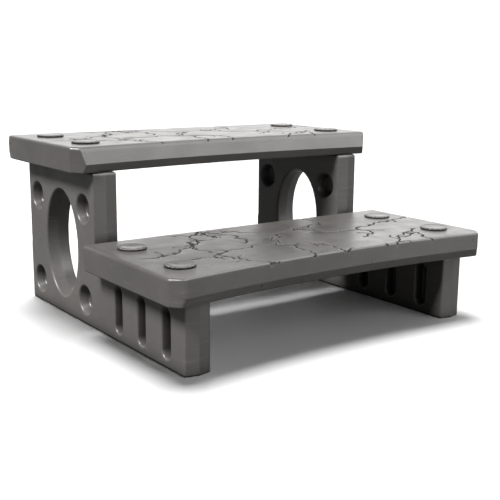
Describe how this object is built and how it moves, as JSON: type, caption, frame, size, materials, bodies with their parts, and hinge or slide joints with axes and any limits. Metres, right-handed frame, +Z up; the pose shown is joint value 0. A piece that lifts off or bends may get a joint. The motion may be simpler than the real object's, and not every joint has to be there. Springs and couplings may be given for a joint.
{
  "type": "spa steps",
  "caption": "Free-standing two-tread steps for a spa: hollow moulded side panels with oval openings carry stone-patterned treads held by round-headed screws.",
  "frame": {"origin": "on the floor, in the middle of the steps' outline seen from above", "axes": "+X to the climber's right along the width, +Y the way the user climbs, +Z up"},
  "size_m": [0.762, 0.705, 0.3718],
  "materials": {
    "moulded_plastic": "fine-grained warm grey polyethylene with a low sheen",
    "screw_plastic": "smooth warm grey moulded plastic",
    "bushing_plastic": "plain dark moulded plastic"
  },
  "bodies": {
    "root": {"side_panel_left": "moulded_plastic", "side_panel_right": "moulded_plastic", "lower_tread": "moulded_plastic", "upper_tread": "moulded_plastic", "lower_screw_front_left": "screw_plastic", "lower_screw_front_right": "screw_plastic", "lower_screw_rear_left": "screw_plastic", "lower_screw_rear_right": "screw_plastic", "upper_screw_front_left": "screw_plastic", "upper_screw_front_right": "screw_plastic", "upper_screw_rear_left": "screw_plastic", "upper_screw_rear_right": "screw_plastic", "lower_bushing_front_left": "bushing_plastic", "lower_bushing_front_right": "bushing_plastic", "lower_bushing_rear_left": "bushing_plastic", "lower_bushing_rear_right": "bushing_plastic", "upper_bushing_front_left": "bushing_plastic", "upper_bushing_front_right": "bushing_plastic", "upper_bushing_rear_left": "bushing_plastic", "upper_bushing_rear_right": "bushing_plastic"}
  },
  "joints": []
}
